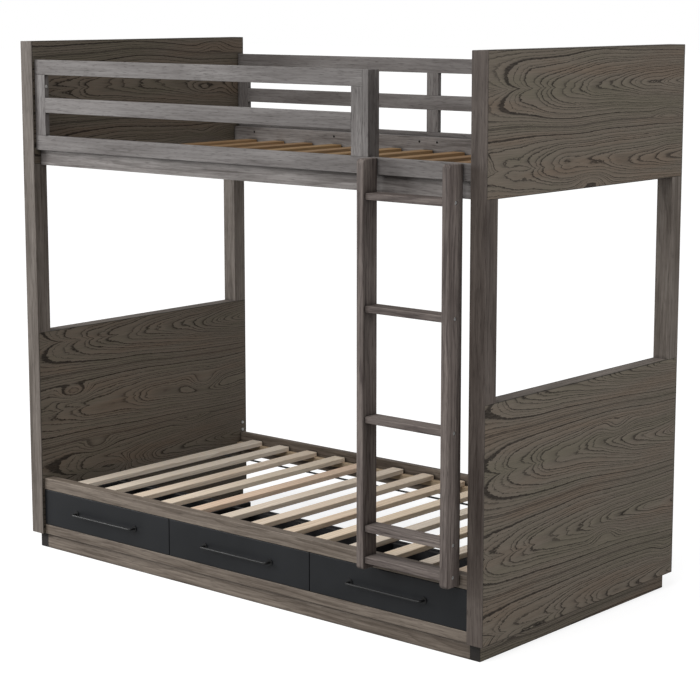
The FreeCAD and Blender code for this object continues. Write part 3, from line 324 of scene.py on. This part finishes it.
long_guard_boards = [f"{side}_guard_{board}" for side in ("front", "rear")
                     for board in ("bottom_rail", "mid_rail", "top_rail")]
for index, board in enumerate(long_guard_boards):
    finish_nodes([board], stained_board(f"grey_wash_{board}", "x", 41 + index, GUARD_COLOURS,
                                        streak=0.6, fleck=0.7))
for index, board in enumerate(("front_guard_left_stile", "front_guard_right_stile", "front_guard_end_post",
                               "rear_guard_stiles")):
    finish_nodes([board], stained_board(f"grey_wash_{board}", "z", 51 + index, GUARD_COLOURS,
                                        streak=0.9, fleck=0.95))
for index, rail in enumerate(("upper_front_rail", "upper_rear_rail")):
    finish_nodes([rail], stained_board(f"grey_wash_{rail}", "x", 57 + index, UPPER_RAIL_COLOURS,
                                       streak=0.9, fleck=0.5, figure=0.024))


# Ladder: stiles and rungs of ash under a mid grey-brown stain, with long dark streaks in the stiles.

LADDER_COLOURS = ("#847a74", "#4a413e", "#2a2220", "#8b817c")

for index, (piece, run) in enumerate((("ladder_left_stile", "z"), ("ladder_right_stile", "z"),
                                      ("ladder_rungs", "x"))):
    finish_nodes([piece], stained_board(f"brushed_ash_{piece}", run, 61 + index, LADDER_COLOURS,
                                        streak=1.0, fleck=0.6))


# Slats and the cleats under them: bare planed pine. Each slat is a different board, so its tint is its own.
# The upper bunk's are a browner batch, and their tints are also painted darker as painted shade from the
# guards over them. The lower bunk's tints are painted paler than bare pine, as painted light.

LIT_LOWER_SLAT_TINTS = ["#f0e3d0", "#e6d0b6", "#e6dbcc", "#eddac0", "#e0d5c6", "#e8c9ae", "#efe1cb"]
SHADED_UPPER_SLAT_TINTS = ["#96794f", "#82664a", "#8f714c", "#785d40"]
CLEAT_TINTS = ["#b9a68c", "#b39f84"]
SLAT_COUNT = 13
SLAT_WIDTH = 0.052          # metres
PINE_RING_SPACING = 0.011   # metres of trunk grown in a year
lower_slats_low, lower_slats_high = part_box("lower_slats")
slat_pitch = (lower_slats_high.x - lower_slats_low.x - SLAT_WIDTH) / (SLAT_COUNT - 1)


def planed_pine(name, run, seed, tints):
    """Bare pine: pale, with soft amber growth lines, and a tint of its own for each slat of a row."""
    material, tree = new_material(name)
    place = add_node(tree, "SeparateXYZ", {0: add_node(tree, "TexCoord").outputs["Object"]}).outputs
    number = add_node(tree, "Math", {0: place[0], 1: lower_slats_low.x - slat_pitch / 4}, operation="SUBTRACT")
    number = add_node(tree, "Math", {0: number, 1: slat_pitch}, operation="DIVIDE")
    number = add_node(tree, "Math", {0: number}, operation="FLOOR")
    number = add_node(tree, "Math", {0: number, 1: seed * 7.0}, operation="ADD")
    picked = add_node(tree, "TexWhiteNoise", {"W": number}, noise_dimensions="1D")
    jump = add_node(tree, "Math", {0: picked, 1: 9.0}, operation="MULTIPLY")
    jump = add_node(tree, "CombineXYZ", {0: jump})
    space = add_node(tree, "VectorMath", {0: grain_space(tree, run, seed), 1: jump}, operation="ADD")
    _, across, through = add_node(tree, "SeparateXYZ", {0: space}).outputs
    wander = long_grain(tree, space, (1.6, 10), 2)
    from_pith = add_node(tree, "CombineXYZ", {0: across, 1: through})
    radius = add_node(tree, "VectorMath", {0: from_pith}, operation="LENGTH")
    radius = add_node(tree, "Math", {0: wander, 1: 0.07, 2: radius}, operation="MULTIPLY_ADD")
    year = add_node(tree, "Math", {0: radius, 1: PINE_RING_SPACING}, operation="DIVIDE")
    year = add_node(tree, "Math", {0: year}, operation="FRACT")
    rings = add_node(tree, "ValToRGB", {0: year}, stops=[(0.0, 0.0), (0.7, 0.55), (0.93, 1.0), (1.0, 0.0)])
    rings = add_node(tree, "Math", {0: rings, 1: 0.7}, operation="MULTIPLY")
    streaks = long_grain(tree, space, (5, 260), 4, 0.6)
    share = 1 / (len(tints) - 1)
    tint = add_node(tree, "ValToRGB", {0: picked},
                    stops=[(index * share, colour) for index, colour in enumerate(tints)])
    darker = add_node(tree, "Mix", {0: 0.45, 6: tint, 7: "#8f6a45"}, data_type="RGBA")
    colour = add_node(tree, "Mix", {0: rings, 6: tint, 7: darker}, data_type="RGBA")
    planing = add_node(tree, "ValToRGB", {0: streaks}, stops=[(0.3, 0.35), (0.7, 0.65)])
    colour = add_node(tree, "Mix", {0: 0.4, 6: colour, 7: planing}, data_type="RGBA", blend_type="OVERLAY")
    finish_surface(tree, {"Base Color": colour, "Roughness": 0.62, "IOR": 1.47}, streaks, 0.0003, 0.5)
    return material


finish_nodes(["lower_slats"], planed_pine("planed_pine_lower_slats", "y", 3, LIT_LOWER_SLAT_TINTS))
finish_nodes(["upper_slats"], planed_pine("planed_pine_upper_slats", "y", 5, SHADED_UPPER_SLAT_TINTS))
finish_nodes(["slat_cleats"], planed_pine("planed_pine_cleats", "x", 6, CLEAT_TINTS))


# Straps under the slats: black polypropylene webbing, stapled on. Its threads lie about two millimetres apart
# along the strap and one and a half across it.

material, tree = new_material("black_webbing")
place = add_node(tree, "TexCoord").outputs["Object"]
threads = add_node(tree, "TexWave", {"Vector": place, "Scale": 160.0, "Distortion": 0.4},
                   bands_direction="X").outputs["Fac"]
ribs = add_node(tree, "TexWave", {"Vector": place, "Scale": 220.0, "Distortion": 0.2},
                bands_direction="Y").outputs["Fac"]
weave = add_node(tree, "Math", {0: threads, 1: ribs}, operation="MULTIPLY")
colour = add_node(tree, "Mix", {0: weave, 6: "#101011", 7: "#2a2a2c"}, data_type="RGBA")
finish_surface(tree, {"Base Color": colour, "Roughness": 0.75}, weave, 0.0004, 0.8)
finish_nodes(["slat_straps"], material)


# Drawer fronts: medium-density board with a satin charcoal lacquer, sprayed, so it has a faint orange peel
# and soft clouds of tone. The dimples of the peel are about 2.4 mm across, and the clouds about 250 mm.

material, tree = new_material("charcoal_lacquer")
place = add_node(tree, "TexCoord").outputs["Object"]
peel = add_node(tree, "TexNoise", {"Vector": place, "Scale": 420.0, "Detail": 2.0})
cloud = add_node(tree, "TexNoise", {"Vector": place, "Scale": 4.0, "Detail": 4.0, "Roughness": 0.6})
clouding = add_node(tree, "ValToRGB", {0: cloud}, stops=[(0.35, 0.0), (0.65, 1.0)])
clouding.color_ramp.interpolation = "EASE"
colour = add_node(tree, "Mix", {0: clouding, 6: "#141619", 7: "#191b1e"}, data_type="RGBA")
wear = add_node(tree, "Math", {0: worn_edges(tree, 0.002), 1: 0.25}, operation="MULTIPLY")
colour = add_node(tree, "Mix", {0: wear, 6: colour, 7: "#34373a"}, data_type="RGBA")
roughness = add_node(tree, "ValToRGB", {0: cloud}, stops=[(0.3, 0.42), (0.7, 0.52)])
finish_surface(tree, {"Base Color": colour, "Roughness": roughness, "IOR": 1.42}, peel, 0.0001, 0.35)
finish_nodes([f"drawer_{drawer}_front" for drawer in (1, 2, 3)], material)


# Drawer boxes, partitions and the beam behind them: board with a matt black paper foil.

material, tree = new_material("black_foil")
fibres = long_grain(tree, grain_space(tree, "y", 71), (14, 300), 3, 0.6)
colour = add_node(tree, "ValToRGB", {0: fibres}, stops=[(0.3, "#121213"), (0.7, "#1f1f21")])
roughness = add_node(tree, "ValToRGB", {0: fibres}, stops=[(0.3, 0.55), (0.7, 0.7)])
finish_surface(tree, {"Base Color": colour, "Roughness": roughness}, fibres, 0.0002, 0.4)
finish_nodes([f"drawer_{drawer}_{piece}" for drawer in (1, 2, 3) for piece in ("box", "bottom")], material)
finish_nodes(["drawer_partitions", "drawer_back_beam"], material)


# Pulls: bent steel rod with a satin black powder coat, which has a fine even texture of grains about 1 mm
# across.

material, tree = new_material("black_powder_coat")
place = add_node(tree, "TexCoord").outputs["Object"]
grit = add_node(tree, "TexNoise", {"Vector": place, "Scale": 900.0, "Detail": 2.0})
colour = add_node(tree, "ValToRGB", {0: grit}, stops=[(0.3, "#0c0c0d"), (0.7, "#161617")])
roughness = add_node(tree, "ValToRGB", {0: grit}, stops=[(0.3, 0.38), (0.7, 0.5)])
finish_surface(tree, {"Base Color": colour, "Roughness": roughness}, grit, 0.0001, 0.4)
finish_nodes([f"drawer_{drawer}_pull" for drawer in (1, 2, 3)], material)


# Bolts and drawer slides: steel with bright zinc plating, faintly clouded in patches about 4 mm across. The
# bolts hold the ladder and the end panels, and the slides are screwed to the drawers and to the base.


def plated_steel(name, cloud_scale, dark, bright, rough_least, rough_most, metallic):
    """Steel under a thin coat of metal or oxide. The scale of its clouding is in patches a metre."""
    material, tree = new_material(name)
    place = add_node(tree, "TexCoord").outputs["Object"]
    cloud = add_node(tree, "TexNoise", {"Vector": place, "Scale": cloud_scale, "Detail": 3.0})
    colour = add_node(tree, "ValToRGB", {0: cloud}, stops=[(0.3, dark), (0.7, bright)])
    roughness = add_node(tree, "ValToRGB", {0: cloud}, stops=[(0.3, rough_least), (0.7, rough_most)])
    shader = add_node(tree, "BsdfPrincipled", {"Base Color": colour, "Roughness": roughness,
                                               "Metallic": metallic})
    add_node(tree, "OutputMaterial", {"Surface": shader})
    return material


bright_zinc = plated_steel("bright_zinc", 260.0, "#bfc0c0", "#e2e2e0", 0.4, 0.52, metallic=0.8)
finish_nodes(["frame_bolts", "ladder_bolts", "fixed_drawer_slides"], bright_zinc)
finish_nodes([f"drawer_{drawer}_slide_members" for drawer in (1, 2, 3)], bright_zinc)


# Guard screws, which hold the guards to the side rails: steel blackened in a hot bath, which leaves it dark
# grey with a dull oily shine.

finish_nodes(["guard_screws"], plated_steel("blackened_steel", 300.0, "#2a2826", "#403c39", 0.4, 0.55,
                                            metallic=1.0))


# Studio: a pale floor that runs out of sight, a soft key light at the left front, a weaker one at the right,
# and a wide one overhead that leans towards the front, so that it reaches the lower bunk.

floor_mesh = bpy.data.meshes.new("studio_floor")
reach = 60.0   # metres from the middle to each edge
floor_mesh.from_pydata([(-reach, -reach, 0), (reach, -reach, 0), (reach, reach, 0), (-reach, reach, 0)], [],
                       [(0, 1, 2, 3)])
floor = bpy.data.objects.new("studio_floor", floor_mesh)
bpy.context.scene.collection.objects.link(floor)
# The paper is white to look at, and throws back less light than that on to the bed
material, tree = new_material("studio_floor_paper")
seen = add_node(tree, "LightPath").outputs["Is Camera Ray"]
glow = add_node(tree, "Math", {0: seen, 1: 0.76}, operation="MULTIPLY")
shader = add_node(tree, "BsdfPrincipled", {"Base Color": (0.35, 0.35, 0.35, 1.0), "Roughness": 0.9,
                                           "Emission Color": (1.0, 1.0, 1.0, 1.0), "Emission Strength": glow})
add_node(tree, "OutputMaterial", {"Surface": shader})
floor_mesh.materials.append(material)


def soft_light(name, place, aim, width, height, power):
    """A rectangular softbox at a place, aimed at a point."""
    light = bpy.data.lights.new(name, "AREA")
    light.shape = "RECTANGLE"
    light.size = width
    light.size_y = height
    light.energy = power
    lamp = bpy.data.objects.new(name, light)
    lamp.location = place
    lamp.rotation_mode = "QUATERNION"
    lamp.rotation_quaternion = (Vector(aim) - Vector(place)).to_track_quat("-Z", "Y")
    bpy.context.scene.collection.objects.link(lamp)


soft_light("key_light", (-5.0, -3.8, 2.4), (-0.2, 0.0, 0.9), 2.0, 2.2, 185)
soft_light("right_light", (5.6, 0.2, 2.3), (1.0, 0.0, 1.1), 1.6, 2.0, 92)

overhead = bpy.data.lights.new("overhead_light", "SUN")
overhead.energy = 2.0
overhead.angle = math.radians(50)
overhead_lamp = bpy.data.objects.new("overhead_light", overhead)
overhead_lamp.rotation_euler = (math.radians(36), 0.0, 0.0)
bpy.context.scene.collection.objects.link(overhead_lamp)

# The room beyond is white to look at, and gives the bed a dimmer light from all round
world = bpy.data.worlds.new("studio")
world.use_nodes = True
tree = world.node_tree
tree.nodes.clear()
seen = add_node(tree, "Background", {"Color": (1.0, 1.0, 1.0, 1.0), "Strength": 1.0})
given = add_node(tree, "Background", {"Color": (1.0, 1.0, 1.0, 1.0), "Strength": 0.32})
choice = add_node(tree, "MixShader", {0: add_node(tree, "LightPath").outputs["Is Camera Ray"],
                                      1: given, 2: seen})
add_node(tree, "OutputWorld", {"Surface": choice})
bpy.context.scene.world = world
bpy.context.scene.view_settings.view_transform = "Standard"


# Camera: a long lens seven metres away and two metres up, which looks a little down at the bed's front and at
# the ladder's end.

camera_data = bpy.data.cameras.new("camera")
camera_data.sensor_width = 36.0
camera_data.lens = 102.45
camera_data.shift_y = -0.05
camera_data.clip_end = 200.0
camera = bpy.data.objects.new("camera", camera_data)
camera.location = (4.467, -5.114, 1.971)
camera.rotation_euler = (math.radians(90 - 8.972), 0.0, math.radians(40.699))
bpy.context.scene.collection.objects.link(camera)
bpy.context.scene.camera = camera
